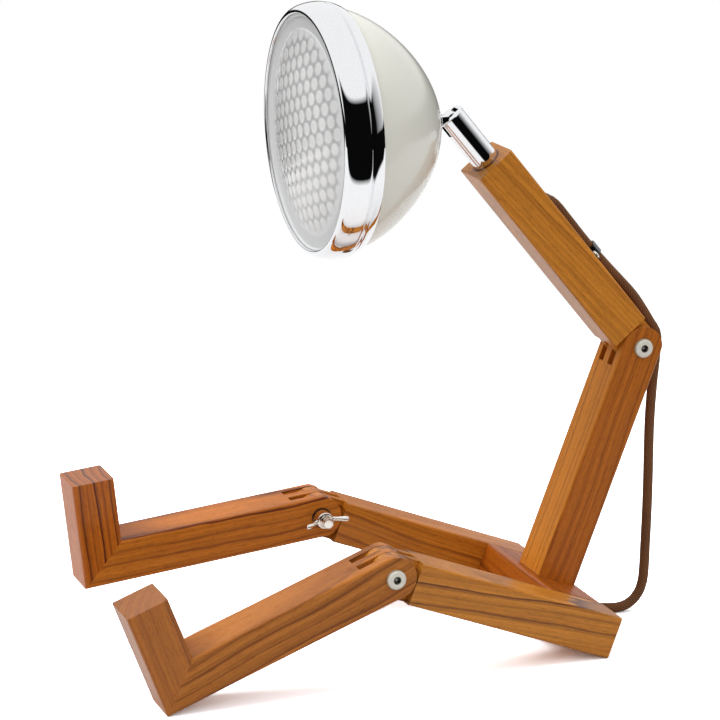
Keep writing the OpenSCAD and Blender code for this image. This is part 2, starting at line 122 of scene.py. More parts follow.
def srgb(r, g, b):
    """Linear colour of an sRGB colour given from 0 to 255."""
    def one(v):
        v /= 255
        return v / 12.92 if v <= 0.04045 else ((v + 0.055) / 1.055) ** 2.4
    return (one(r), one(g), one(b), 1)


def piece(name, verts, faces, matrix=None, uvs=None, smooth=True, sharp=None):
    """New object from points and faces, in the row frame once matrix has placed it."""
    mesh = bpy.data.meshes.new(name)
    mesh.from_pydata([tuple(v) for v in verts], [], faces)
    if uvs is not None:
        layer = mesh.uv_layers.new(name="along")
        for loop, uv in zip(layer.data, uvs):
            loop.uv = uv
    if matrix is not None:
        mesh.transform(matrix)
    mesh.validate()
    mesh.update()
    for polygon in mesh.polygons:
        polygon.use_smooth = smooth
    if sharp is not None:
        mesh.set_sharp_from_angle(angle=math.radians(sharp))
    obj = bpy.data.objects.new(name, mesh)
    scene.collection.objects.link(obj)
    return obj


def circle(r, h, segments):
    """Points of a level circle about local Z."""
    turns = [2 * math.pi * k / segments for k in range(segments)]
    return [(r * math.cos(a), r * math.sin(a), h) for a in turns]


def lathe(name, profile, segments, matrix, closed=True, sharp=35):
    """Solid of revolution about local Z from (radius, height) points. closed joins the last point
    to the first. Without it, the profile starts and ends on the axis."""
    verts, rings = [], []
    for r, h in profile:
        if r < 1e-7:
            rings.append([len(verts)] * segments)
            verts.append((0, 0, h))
        else:
            rings.append(list(range(len(verts), len(verts) + segments)))
            verts += circle(r, h, segments)
    faces = []
    following = rings[1:] + rings[:1] if closed else rings[1:]
    for a, b in zip(rings, following):
        if a[0] == a[1] and b[0] == b[1]:
            continue
        for k in range(segments):
            n = (k + 1) % segments
            corners = [a[k], a[n], b[n], b[k]]
            faces.append([c for i, c in enumerate(corners) if c != corners[i - 1]])
    return piece(name, verts, faces, matrix, sharp=sharp)


def peg(name, radius, low, high, matrix):
    """Cylinder about local Z, for cutting."""
    profile = [(0, low), (radius, low), (radius, high), (0, high)]
    return lathe(name, profile, 48, matrix, closed=False)


def skin(rings, sides, first=0):
    """Quads that join each ring of points to the next. The points are numbered from first."""
    faces = []
    for i in range(rings - 1):
        a, b = first + i * sides, first + (i + 1) * sides
        for k in range(sides):
            n = (k + 1) % sides
            faces.append([a + k, a + n, b + n, b + k])
    return faces


def solid(rings, sides):
    """Faces of a solid through rings of points: its skin and a cap on either end."""
    last = (rings - 1) * sides
    return skin(rings, sides) + [list(range(sides))[::-1], [last + k for k in range(sides)]]


def arc(cx, cz, r, start, end, steps):
    """Points of an arc in a lathe profile, angles in degrees from +r towards +h."""
    return [
        (cx + r * math.cos(math.radians(a)), cz + r * math.sin(math.radians(a)))
        for a in np.linspace(start, end, steps)
    ]


def distances(path):
    """Distance along a path to each of its points."""
    steps = np.linalg.norm(np.diff(path, axis=0), axis=1)
    return np.concatenate([[0], np.cumsum(steps)])


def smooth_path(points, step):
    """Catmull-Rom curve through the points, resampled at about step."""
    p = [np.array(q, float) for q in points]
    p = [2 * p[0] - p[1]] + p + [2 * p[-1] - p[-2]]
    dense = []
    for a, b, c, d in zip(p, p[1:], p[2:], p[3:]):
        for t in np.arange(0, 1, 0.1):
            dense.append(
                0.5 * (2 * b + (c - a) * t + (2 * a - 5 * b + 4 * c - d) * t ** 2
                       + (3 * b - a - 3 * c + d) * t ** 3))
    dense.append(p[-2])
    dense = np.array(dense)
    along = distances(dense)
    count = int(round(along[-1] / step)) + 1
    at = np.linspace(0, along[-1], count)
    return np.stack([np.interp(at, along, dense[:, k]) for k in range(3)], 1)


def tube(name, path, radius, sides):
    """Round tube along a path, closed at both ends, with U round it and V along it in metres."""
    path = np.array(path, float)
    tangents = np.gradient(path, axis=0)
    tangents /= np.linalg.norm(tangents, axis=1)[:, None]
    normal = np.array([1.0, 0, 0])
    verts = []
    for centre, tangent in zip(path, tangents):
        normal = normal - tangent * normal.dot(tangent)
        normal /= np.linalg.norm(normal)
        other = np.cross(tangent, normal)
        for k in range(sides):
            a = 2 * math.pi * k / sides
            verts.append(centre + radius * (math.cos(a) * normal + math.sin(a) * other))
    along = distances(path)
    uvs = []
    for low, high in zip(along, along[1:]):
        for k in range(sides):
            here, after = k / sides, (k + 1) / sides
            uvs += [(here, low), (after, low), (after, high), (here, high)]
    for end in (along[0], along[-1]):
        uvs += [(0.5, end)] * sides
    return piece(name, verts, solid(len(path), sides), uvs=uvs, sharp=60)


def settle(obj):
    """Applies an object's modifiers and shades it smooth."""
    depsgraph = bpy.context.evaluated_depsgraph_get()
    mesh = bpy.data.meshes.new_from_object(obj.evaluated_get(depsgraph))
    obj.modifiers.clear()
    obj.data = mesh
    for polygon in mesh.polygons:
        polygon.use_smooth = True


def combine(obj, others, operation, sharp=None):
    """Cuts the others out of an object, or fuses them to it, and deletes them."""
    for other in others:
        step = obj.modifiers.new(operation, "BOOLEAN")
        step.operation, step.solver, step.object = operation, "EXACT", other
        settle(obj)
        bpy.data.objects.remove(other)
    if sharp is not None:
        obj.data.set_sharp_from_angle(angle=math.radians(sharp))


def block(name, low, high, matrix):
    """Box between two corners, for cutting."""
    corners = [
        (x, y, z) for x in (low[0], high[0]) for y in (low[1], high[1]) for z in (low[2], high[2])]
    faces = [[0, 1, 3, 2], [4, 6, 7, 5], [0, 4, 5, 1], [2, 3, 7, 6], [0, 2, 6, 4], [1, 5, 7, 3]]
    return piece(name, corners, faces, matrix, smooth=False)


# ------------------------------------------------------------------ material helpers


class Graph:
    """Short way to build the nodes of a new material, or of a new world."""

    def __init__(self, name, world=False):
        self.owner = bpy.data.worlds.new(name) if world else bpy.data.materials.new(name)
        self.owner.use_nodes = True
        self.tree = self.owner.node_tree
        self.tree.nodes.clear()
        self.output = self.add("OutputWorld" if world else "OutputMaterial")

    def add(self, kind, inputs=None, **settings):
        """New node, with values or links for its inputs and settings of its own."""
        made = self.tree.nodes.new("ShaderNode" + kind)
        for key, value in settings.items():
            setattr(made, key, value)
        for key, value in (inputs or {}).items():
            self.put(made.inputs[key], value)
        return made

    def put(self, socket, value):
        """Links a socket or node to an input, or sets its value."""
        if isinstance(value, bpy.types.NodeSocket):
            self.tree.links.new(value, socket)
        elif isinstance(value, bpy.types.Node):
            self.tree.links.new(value.outputs[0], socket)
        else:
            socket.default_value = value

    def math(self, operation, a, b=0.0, c=0.0, clamp=False):
        made = self.add("Math", operation=operation, use_clamp=clamp)
        for socket, value in zip(made.inputs, (a, b, c)):
            self.put(socket, value)
        return made.outputs[0]

    def vector(self, operation, a, b=(0, 0, 0)):
        made = self.add("VectorMath", operation=operation)
        self.put(made.inputs[0], a)
        self.put(made.inputs[1], b)
        return made.outputs[0]

    def length(self, vector):
        return self.add("VectorMath", {0: vector}, operation="LENGTH").outputs["Value"]

    def dot(self, a, b):
        return self.add("VectorMath", {0: a, 1: b}, operation="DOT_PRODUCT").outputs["Value"]

    def placed(self, vector, origin, angles):
        """Coordinates in a frame at origin, turned by angles about X, Y and Z."""
        return self.add("Mapping", {
            "Vector": vector, "Location": origin, "Rotation": angles},
            vector_type="TEXTURE").outputs[0]

    def noise(self, vector, scale, detail=2.0, rough=0.5):
        return self.add("TexNoise", {
            "Vector": vector, "Scale": scale, "Detail": detail, "Roughness": rough}).outputs[0]

    def ramp(self, value, stops):
        """Grey or colour ramp: stops are (position, value or colour)."""
        made = self.add("ValToRGB", {"Fac": value})
        elements = made.color_ramp.elements
        while len(elements) > 1:
            elements.remove(elements[-1])
        for i, (position, colour) in enumerate(stops):
            element = elements[0] if i == 0 else elements.new(position)
            element.position = position
            element.color = colour if hasattr(colour, "__len__") else (colour, colour, colour, 1)
        return made.outputs[0]

    def mix(self, factor, a, b, blend="MIX"):
        made = self.add("Mix", data_type="RGBA", blend_type=blend)
        self.put(made.inputs["Factor"], factor)
        self.put(made.inputs[6], a)
        self.put(made.inputs[7], b)
        return made.outputs[2]

    def bump(self, height, strength, distance):
        return self.add("Bump", {
            "Height": height, "Strength": strength, "Distance": distance}).outputs[0]

    def blend(self, factor, a, b):
        """Shader between two shaders."""
        made = self.add("MixShader", {"Fac": factor})
        self.put(made.inputs[1], a)
        self.put(made.inputs[2], b)
        return made

    def finish(self, shader):
        """Links the last shader and returns the material or world."""
        self.put(self.output.inputs["Surface"], shader)
        return self.owner

    def surface(self, **inputs):
        """Principled surface. Keys are socket names with _ for a space."""
        made = self.add("BsdfPrincipled")
        for key, value in inputs.items():
            self.put(made.inputs[key.replace("_", " ")], value)
        return self.finish(made)


def dress(obj, material):
    """Gives an object one material, on every face."""
    if obj.data.materials:
        for i in range(len(obj.data.materials)):
            obj.data.materials[i] = material
    else:
        obj.data.materials.append(material)


# ------------------------------------------------------------------ wood

# Tints that a wood's colour is multiplied by, and how much of the end grain's shows
# The pale tint is painted sheen: the white surroundings' reflection and the stronger light on faces
# that don't look along X
PORE_TINT, PAINTED_SHEEN_TINT = (0.50, 0.40, 0.34, 1), (1.30, 1.62, 2.30, 1)
# The hole's tint is painted shade round the neck tube's hole in the arm's end
HOLE_PAINTED_SHADE_TINT, END_TINT = (0.22, 0.16, 0.14, 1), (0.70, 0.72, 0.80, 1)
END_GRAIN = 0.8
# Colour ramps run from 0 to 1, so small radii go into them in centimetres and larger ones in
# decimetres
CM, DM = 100.0, 10.0


def bore_painted_shade(g, where):
    """Mask of painted shade round the neck tube's hole: 1 round the arm's long axis, as far as the
    hole that the neck tube comes out of. It falls to 0 just outside the hole's edge."""
    across = g.vector("MULTIPLY", g.placed(where, WAIST, (ARM_LEAN, 0, 0)), (1, 1, 0))
    return g.ramp(g.math("MULTIPLY", g.length(across), CM), [(0.0, 1.0), (0.84, 1.0), (0.98, 0.0)])


def fine(g, local, across, along, detail=2.0, rough=0.5):
    """Noise with so many cycles in a metre across the grain and along it."""
    stretched = g.vector("MULTIPLY", local, (across, along, across))
    return g.noise(stretched, 1.0, detail, rough)


def year_rings(g, local, from_pith, spacing):
    """Strength of the year rings, which slow noise bends, and the distance from the pith."""
    slow = g.vector("MULTIPLY", local, (14, 4.5, 14))
    warp = g.add("TexNoise", {"Vector": slow, "Scale": 1.0, "Detail": 2.0, "Roughness": 0.45})
    warp = g.vector("SUBTRACT", warp.outputs["Color"], (0.5, 0.5, 0.5))
    warp = g.vector("MULTIPLY", warp, (0.016, 0, 0.016))
    radius = g.length(g.vector("MULTIPLY", g.vector("ADD", from_pith, warp), (1, 0, 1)))
    uneven = g.math("MULTIPLY", fine(g, local, 160, 22), 0.55)
    ring = g.math("ADD", g.math("DIVIDE", radius, spacing), uneven)
    late = g.ramp(g.math("FRACT", ring), [
        (0.0, 0.30), (0.06, 0.05), (0.45, 0.08), (0.74, 0.42), (0.90, 1.0), (0.97, 0.80),
        (1.0, 0.30)])
    year = g.add("TexWhiteNoise", {"W": g.math("FLOOR", ring)}, noise_dimensions="1D")
    year = g.math("POWER", year.outputs["Value"], 1.6)
    return g.math("MULTIPLY", late, g.math("MULTIPLY_ADD", year, 0.95, 0.12)), radius


def grain_tones(g, colour, local, radius, fibre):
    """A wood's colour with broad bands, streaks, fibres and specks, each in its own amount."""
    band = g.add("TexNoise", {"W": g.math("MULTIPLY", radius, 95.0), "Detail": 1.0},
                 noise_dimensions="1D").outputs[0]
    streak = fine(g, local, 230, 7, rough=0.55)
    speckle = g.noise(local, 1500.0, 2.0, 0.6)
    tones = (
        (band, 0.7, [(0.30, (0.80, 0.74, 0.68, 1)), (0.52, 1.0), (0.72, (1.10, 1.12, 1.16, 1))]),
        (streak, 0.5, [(0.32, (0.80, 0.75, 0.70, 1)), (0.50, 1.0), (0.70, (1.10, 1.11, 1.14, 1))]),
        (fibre, 0.5, [(0.30, 0.82), (0.52, 1.0), (0.72, 1.12)]),
        (speckle, 0.6, [(0.30, 0.84), (0.52, 1.0), (0.74, 1.14)]))
    for value, amount, stops in tones:
        colour = g.mix(amount, colour, g.ramp(value, stops), "MULTIPLY")
    return colour


def face_tones(g, colour, normal, grain, pale):
    """A wood's colour with painted sheen, as much as pale, on the faces that don't look along X,
    and dark end grain.
    """
    if pale > 0:
        flank = g.math("ABSOLUTE", g.add("SeparateXYZ", {0: normal}).outputs[0])
        face = g.math("MULTIPLY", g.math("SUBTRACT", 1.0, flank), pale)
        colour = g.mix(face, colour, PAINTED_SHEEN_TINT, "MULTIPLY")
    end = g.math("POWER", g.math("ABSOLUTE", g.dot(normal, grain)), 6.0)
    return g.mix(g.math("MULTIPLY", end, END_GRAIN), colour, END_TINT, "MULTIPLY")


def wood(name, origin, angle, turn, pith, light, dark, seed, rings, bold, gloss, pale=0.0, hole=False):
    """Oiled hardwood. Its grain runs along local Y of a frame turned by angle about X and then
    turn about Z. pith is where the tree's middle is across the grain, and rings is the space
    between year rings, both in metres. bold is how strong the rings are, and gloss the weight of
    the oil's coat. pale is how much painted sheen lightens the faces that don't look along X, and
    hole paints shade round the neck tube's hole."""
    g = Graph(name)
    coords = g.add("TexCoord").outputs
    where, normal = coords["Object"], coords["Normal"]
    grain = Euler((angle, 0, turn)).to_matrix() @ Vector((0, 1, 0))
    shift = (seed * 0.37, seed * 0.71, seed * 0.53)
    local = g.vector("ADD", g.placed(where, origin, (angle, 0, turn)), shift)
    from_pith = g.vector("SUBTRACT", local, (shift[0] + pith[0], 0, shift[2] + pith[1]))
    strong, radius = year_rings(g, local, from_pith, rings)
    colour = g.mix(g.math("MULTIPLY", strong, bold, clamp=True), light, dark)
    fibre = fine(g, local, 1100, 34, rough=0.6)
    colour = grain_tones(g, colour, local, radius, fibre)
    pores = fine(g, local, 1900, 210, 1.0)
    pores = g.ramp(pores, [(0.0, 0.0), (0.56, 0.0), (0.68, 1.0), (1.0, 1.0)])
    pore_colour = g.mix(1.0, colour, PORE_TINT, "MULTIPLY")
    colour = g.mix(g.math("MULTIPLY", pores, 0.38), colour, pore_colour)
    colour = face_tones(g, colour, normal, grain, pale)
    # Painted shade round the neck tube's hole, where the tube stands in the arm's end
    if hole:
        colour = g.mix(bore_painted_shade(g, where), colour, HOLE_PAINTED_SHADE_TINT, "MULTIPLY")
    height = g.math("SUBTRACT", g.math("MULTIPLY", fibre, 0.35), g.math("MULTIPLY", pores, 0.6))
    rough = g.math("MULTIPLY_ADD", pores, 0.12, g.math("MULTIPLY_ADD", fibre, 0.14, 0.38))
    return g.surface(
        Base_Color=colour, Roughness=rough, Normal=g.bump(height, 0.25, 0.0002),
        Coat_Weight=gloss, Coat_Roughness=0.15, Specular_IOR_Level=0.22)


beams = [
    # node, origin, angle, turn, pith, light, dark, seed, rings, bold, gloss, pale, hole
    ("thigh_left", (KNEE.x, SEAT_BACK, 0), -SEAT_PITCH + 0.10, 0, (0.012, -0.070),
     srgb(216, 138, 46), srgb(104, 52, 14), 1, 0.0062, 1.0, 0.3),
    ("thigh_right", (-KNEE.x, SEAT_BACK, 0), -SEAT_PITCH - 0.05, 0, (0.0, -0.060),
     srgb(207, 124, 32), srgb(108, 44, 8), 2, 0.0070, 0.9, 0.3),
    # The hip bar's colours are darker than the other beams': partly the wood's own tone, partly
    # painted shade, as the bar sits in shade at the back of the seat
    ("hip_bar", (0, SEAT_BACK, 0), 0, QUARTER, (0.03, 0.07),
     srgb(179, 93, 19), srgb(96, 40, 6), 3, 0.0055, 0.8, 0.2),
    ("spine", WAIST, QUARTER - SEAT_PITCH, 0, (0.060, 0.060),
     srgb(195, 109, 23), srgb(120, 54, 8), 4, 0.0042, 0.6, 0.1, 1.0),
    ("upper_beam", WAIST, QUARTER + ARM_LEAN + 0.05, 0, (0.004, 0.075),
     srgb(218, 139, 42), srgb(150, 80, 16), 5, 0.0064, 0.55, 0.3, 0.0, True),
    ("shin_left", KNEE, LEFT_DROP + 0.03, 0, (-0.004, 0.060),
     srgb(196, 120, 47), srgb(92, 40, 12), 6, 0.0064, 1.1, 0.08),
    ("foot_left", KNEE, LEFT_DROP + QUARTER, 0, (0.070, 0.020),
     srgb(187, 109, 32), srgb(104, 48, 12), 7, 0.0060, 0.7, 0.35),
    ("shin_right", RIGHT_KNEE, RIGHT_DROP + 0.02, 0, (0.003, 0.058),
     srgb(214, 124, 33), srgb(100, 38, 8), 8, 0.0068, 1.05, 0.08),
    ("foot_right", RIGHT_KNEE, RIGHT_DROP + QUARTER, 0, (0.004, 0.060),
     srgb(199, 106, 17), srgb(88, 30, 2), 9, 0.0048, 1.1, 0.35),
    ("seat_dowels", (0, 0, 0), 0, QUARTER, (0.02, 0.02),
     srgb(205, 138, 62), srgb(120, 66, 26), 10, 0.003, 0.5, 0.1),
]
for node, *grain in beams:
    dress(nodes[node], wood("wood_" + node, *grain))

# ------------------------------------------------------------------ metals, paint and plastic


def metal(name, colour, rough, wear=0.06, metallic=1.0):
    """Plated metal with faint polishing marks and uneven gloss."""
    g = Graph(name)
    where = g.add("TexCoord").outputs["Object"]
    marks = g.noise(where, 900.0, 3.0, 0.6)
    cloud = g.noise(where, 60.0, 2.0)
    rough_here = g.math("ADD", rough, g.math("MULTIPLY", g.math("SUBTRACT", cloud, 0.45), wear))
    tint = g.ramp(marks, [(0.3, tuple(c * 0.94 for c in colour[:3]) + (1,)), (0.7, colour)])
    return g.surface(
        Base_Color=tint, Metallic=metallic, Roughness=g.math("MAXIMUM", rough_here, 0.015),
        Normal=g.bump(marks, 0.02, 0.0001))


chrome = metal("chrome_plate", srgb(241, 242, 244), 0.02, wear=0.02)
nickel = metal("nickel_plate", srgb(246, 240, 226), 0.30, wear=0.10, metallic=0.8)
clip_steel = metal("clip_steel", srgb(120, 120, 122), 0.16)
# The washers under the wing nuts are painted shade: as dark as the shade that falls round the nuts
washer_painted_shade = metal("washer_painted_shade", srgb(92, 78, 66), 0.35)
wing_plate = metal("wing_plate", srgb(244, 240, 232), 0.10, wear=0.08)


def cap(name, axis):
    """Pale plated bolt cap, worked out from the distance to the bolt's axis: painted shade in its
    socket with a painted highlight at the middle, and a little painted shade at its edge.
    """
    g = Graph(name)
    where = g.add("TexCoord").outputs["Object"]
    across = g.vector("MULTIPLY", g.vector("SUBTRACT", where, axis), (0, 1, 1))
    radius = g.math("MULTIPLY", g.length(across), CM)
    grain = g.noise(where, 700.0, 3.0, 0.6)
    pale = g.ramp(grain, [(0.3, srgb(232, 227, 214)), (0.7, srgb(242, 238, 227))])
    # Painted light by radius: a painted highlight at the middle, painted shade in the socket, and a
    # little painted shade at the cap's edge
    tone = g.ramp(radius, [
        (0.0, srgb(236, 236, 232)), (0.06, srgb(150, 150, 148)), (0.10, srgb(46, 46, 46)),
        (0.20, srgb(34, 34, 34)), (0.23, srgb(200, 196, 186)), (0.25, 1.0), (0.50, 1.0),
        (0.56, srgb(190, 186, 176))])
    return g.surface(
        Base_Color=g.mix(1.0, pale, tone, "MULTIPLY"), Metallic=0.0,
        Roughness=g.math("MULTIPLY_ADD", grain, 0.14, 0.24), Normal=g.bump(grain, 0.03, 0.0001))


def enamel(name, colour):
    """Glossy baked paint with a faint orange peel."""
    g = Graph(name)
    where = g.add("TexCoord").outputs["Object"]
    peel = g.noise(where, 260.0, 2.0)
    cloud = g.noise(where, 14.0, 2.0)
    tint = g.ramp(cloud, [(0.3, tuple(c * 0.97 for c in colour[:3]) + (1,)), (0.7, colour)])
    return g.surface(
        Base_Color=tint, Roughness=g.math("MULTIPLY_ADD", cloud, 0.06, 0.24), Coat_Weight=0.5,
        Coat_Roughness=0.03, Specular_IOR_Level=0.3, Normal=g.bump(peel, 0.03, 0.0002))


def plastic(name, colour, rough, scale=700.0):
    """Moulded plastic or rubber with a fine eroded texture."""
    g = Graph(name)
    where = g.add("TexCoord").outputs["Object"]
    grain = g.noise(where, scale, 3.0, 0.6)
    tint = g.ramp(grain, [(0.3, tuple(c * 0.85 for c in colour[:3]) + (1,)), (0.7, colour)])
    return g.surface(
        Base_Color=tint, Roughness=g.math("MULTIPLY_ADD", grain, 0.12, rough),
        Normal=g.bump(grain, 0.12, 0.0002))


cream = enamel("cream_enamel", srgb(246, 245, 234))
rubber = plastic("rubber", srgb(38, 36, 34), 0.7)
ceramic = plastic("ceramic", srgb(226, 222, 210), 0.3, 300.0)
plug_black = plastic("plug_black", srgb(30, 28, 27), 0.38)

for node, axis in (
        ("waist_bolt", WAIST), ("knee_bolt_left", KNEE), ("knee_bolt_right", RIGHT_KNEE)):
    dress(nodes[node], cap("painted_shade_cap_" + node, axis))
for node in ("spine_screws", "rim_screw", "clip_screw", "stem_nut"):
    dress(nodes[node], nickel)
# Washers drawn in painted shade
for node in ("waist_washer", "knee_washer_left", "knee_washer_right"):
    dress(nodes[node], washer_painted_shade)
dress(nodes["knuckle_pin"], chrome)
dress(nodes["cord_clip"], clip_steel)
dress(nodes["gasket"], rubber)
dress(nodes["lamp_holder"], ceramic)

# ------------------------------------------------------------------ wing nuts

HALF_BEAM, WASHER = 0.015, 0.001
BORE_R = 0.0031
VOXEL = 0.00022


def wing(side):
    """Rings of one wing, from inside the body out to its round tip, bent upwards."""
    verts, sides = [], 24
    # reach from the axis, rise from the seat, half width up, half thickness
    stations = [
        (0.0015, 0.0030, 0.0022, 0.0016), (0.0040, 0.0034, 0.0023, 0.0016),
        (0.0056, 0.0045, 0.0021, 0.0014), (0.0075, 0.0064, 0.0022, 0.0014),
        (0.0095, 0.0082, 0.0024, 0.0015), (0.0114, 0.0093, 0.0024, 0.0016),
        (0.0127, 0.0098, 0.0019, 0.0014), (0.0134, 0.0100, 0.0008, 0.0007)]
    for reach, rise, up, thick in stations:
        for k in range(sides):
            a = 2 * math.pi * k / sides
            verts.append((thick * math.cos(a), side * reach, rise + up * math.sin(a)))
    return verts, [face[::side] for face in solid(len(stations), sides)]


def wing_nut(name, node, body, seat):
    """Cast wing nut with its seat at the origin of seat and its wings along local Y."""
    profile = [(BORE_R, 0.0), (0.0053, 0.0), (0.0055, 0.0003), (0.0050, 0.0050)]
    profile += arc(0.0041, 0.0056, 0.0009, 10, 90, 5) + arc(0.0038, 0.0058, 0.0007, 90, 170, 5)
    profile += [(BORE_R, 0.0057)]
    nut = lathe(name, profile, 48, Matrix.Identity(4))
    combine(nut, [piece("wing_part", *wing(side)) for side in (-1, 1)], "UNION")
    bore = peg("bore_part", BORE_R, -0.001, 0.012, Matrix.Identity(4))
    combine(nut, [bore], "DIFFERENCE")
    cast = nut.modifiers.new("cast", "REMESH")
    cast.mode, cast.voxel_size = "VOXEL", VOXEL
    soften = nut.modifiers.new("soften", "SMOOTH")
    soften.factor, soften.iterations = 0.5, 8
    settle(nut)
    nut.data.transform(seat)
    dress(nut, wing_plate)
    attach(nut, body)
    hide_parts(node)


def nut_seat(knuckle, outwards):
    """Frame on a knuckle's washer, with Z out along the bolt. outwards is +1 or -1 along X."""
    to_side = Matrix.Translation((outwards * (HALF_BEAM + WASHER), 0, 0))
    return knuckle @ to_side @ Matrix.Rotation(outwards * QUARTER, 4, "Y")


wing_nut("wing_nut_waist", "waist_wing", "waist_nut",
         nut_seat(frame_at(WAIST, QUARTER - SEAT_PITCH), -1))
wing_nut("wing_nut_left_knee", "knee_wing_left", "left_knee_nut",
         nut_seat(frame_at(KNEE, LEFT_DROP), -1))
wing_nut("wing_nut_right_knee", "knee_wing_right", "right_knee_nut",
         nut_seat(frame_at(RIGHT_KNEE, RIGHT_DROP), 1))

# ------------------------------------------------------------------ neck

# The tube stands SUNK deep in the end of the arm. Its slot, for the stem's eye, opens to the front
ARM_REACH, SUNK = 0.149, 0.024
ROD_R, ROD_BORE, ROD_END = 0.008, 0.003, 0.185
SLOT_FRONT, SLOT_BACK, SLOT_W = 0.0097, 0.0056, 0.0066
PIN_R, PIN_DOWN = 0.0015, 0.004
rod_foot, pin_up = ARM_REACH - SUNK, ROD_END - PIN_DOWN
crosswise = Matrix.Rotation(QUARTER, 4, "Y")

rod = lathe("neck_tube", [
    (ROD_BORE, rod_foot), (ROD_R, rod_foot), (ROD_R, ROD_END - 0.0006),
    (ROD_R - 0.0002, ROD_END - 0.0002), (ROD_R - 0.0006, ROD_END), (ROD_BORE, ROD_END)],
    192, ARM, sharp=None)
pin_hole = peg("pin_part", PIN_R, -0.02, 0.02, ARM @ Matrix.Translation((0, 0, pin_up)) @ crosswise)
slot_cut = block("slot_part", (-SLOT_W / 2, -2 * ROD_R, ROD_END - SLOT_FRONT),
                 (SLOT_W / 2, SLOT_BACK, ROD_END + 0.001), ARM)
combine(rod, [pin_hole, slot_cut], "DIFFERENCE", sharp=25)
dress(rod, chrome)
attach(rod, "neck")
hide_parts("neck_rod")

EYE_R, STEM_HALF, EYE_EDGE = 0.005, 0.003, 0.0006
FLANGE_Z, STEM_BASE = 0.0093, 0.0107
FLANGE_R, STUD_R = 0.0075, 0.003


def stem_outline(inset):
    """The stem's side view in local Y and Z: a round eye on the pin and a straight bar to the
    flange."""
    r, half = EYE_R - inset, STEM_HALF - inset
    start = math.degrees(math.asin(half / r))
    return [(y, z) for z, y in arc(0, 0, r, start, 360 - start, 56)] + [
        (-half, FLANGE_Z + 0.0004), (half, FLANGE_Z + 0.0004)]


def stem_eye():
    """The eye and its bar, with round edges: one outline lofted through the stem's thickness."""
    layers = []
    for a in np.linspace(0, 90, 6):
        layers.append((EYE_EDGE * (1 - math.sin(math.radians(a))),
                       STEM_HALF - EYE_EDGE * (1 - math.cos(math.radians(a)))))
    layers = [(inset, -x) for inset, x in layers] + [(inset, x) for inset, x in layers[::-1]]
    verts = []
    for inset, x in layers:
        ring = stem_outline(inset)
        verts += [(x, y, z) for y, z in ring]
    return verts, solid(len(layers), len(ring))


stem = lathe("neck_stem", [
    (0, FLANGE_Z), (FLANGE_R - 0.0004, FLANGE_Z), (FLANGE_R, FLANGE_Z + 0.0004),
    (FLANGE_R, STEM_BASE), (STUD_R, STEM_BASE), (STUD_R, STEM_BASE + 0.0086),
    (STUD_R - 0.0004, STEM_BASE + 0.009), (0, STEM_BASE + 0.009)], 96, HEAD, closed=False)
combine(stem, [piece("eye_part", *stem_eye(), HEAD)], "UNION")
combine(stem, [peg("pin_part", PIN_R, -0.01, 0.01, HEAD @ crosswise)], "DIFFERENCE", sharp=32)
dress(stem, chrome)
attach(stem, "head")
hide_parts("head_stem")

# ------------------------------------------------------------------ cord

CORD_D = 0.006
CORD_STEP, CORD_SIDES = 0.0035, 16
MM = 0.001
# Both routes in millimetres: from the back of the arm down to the table, under the seat
# and to the coil, and from the coil to the plug
cord_route = [
    (0, 88, 264), (0, 102.2, 257), (0, 109, 253), (0, 116.8, 243.9), (0, 125, 233.8),
    (0, 133.4, 223.8), (0, 142.8, 213.5), (0, 151.8, 204), (0, 160.5, 194.5),
    (0, 167.5, 184.5), (0, 172, 177.3), (0, 175.3, 172.5), (0, 176.7, 167), (0, 176, 155),
    (0, 174.8, 142), (0.5, 173.6, 128), (1, 172.8, 113), (1.5, 172.5, 98), (2.2, 172.2, 83),
    (2.8, 171.8, 68), (3.4, 171.2, 53), (3.8, 170.6, 40), (4, 170.2, 28), (4, 169.3, 18),
    (4, 166.5, 10.5), (4, 161, 5.2), (3.8, 154, 3), (2, 145.5, 3), (-3.5, 138, 3),
    (-13, 133, 3), (-28, 131.5, 3), (-46, 131.5, 3), (-64, 131.5, 3), (-70.1, 130.3, 3),
    (-75.3, 126.8, 3), (-78.8, 121.6, 3), (-80, 115.5, 3.1), (-80, 104, 3.5), (-80, 93, 3.7),
    (-80, 86, 3.7),
]
tail_route = [
    (-80, 74, 10.15), (-80, 72, 10.15), (-79.8, 68, 9.7), (-79.5, 64, 8.6), (-79.2, 60, 7.5),
    (-79, 56, 7), (-79, 54, 7),
]
COIL_AT, COIL_TURNS, COIL_R, COIL_PITCH = (-121, 80, 3.7), 7, 41, 6.45
POINTS_A_TURN = 24
coil_r0 = COIL_R - COIL_PITCH * COIL_TURNS / 2


def coil_point(s):
    """Point of the coil after s turns: in below, climbing at the middle, out above."""
    turn = s - COIL_TURNS / 2
    r = coil_r0 + COIL_PITCH * abs(turn)
    a = -2 * math.pi * s
    climb = min(max(turn * 2 + 0.5, 0), 1)
    x, y, z = COIL_AT
    return (x + r * math.cos(a), y + r * math.sin(a), z + COIL_PITCH * climb)


wound = [coil_point(i / POINTS_A_TURN) for i in range(COIL_TURNS * POINTS_A_TURN + 1)]
cord_points = [tuple(v * MM for v in p) for p in cord_route + wound + tail_route]
cord_path = smooth_path(cord_points, CORD_STEP)


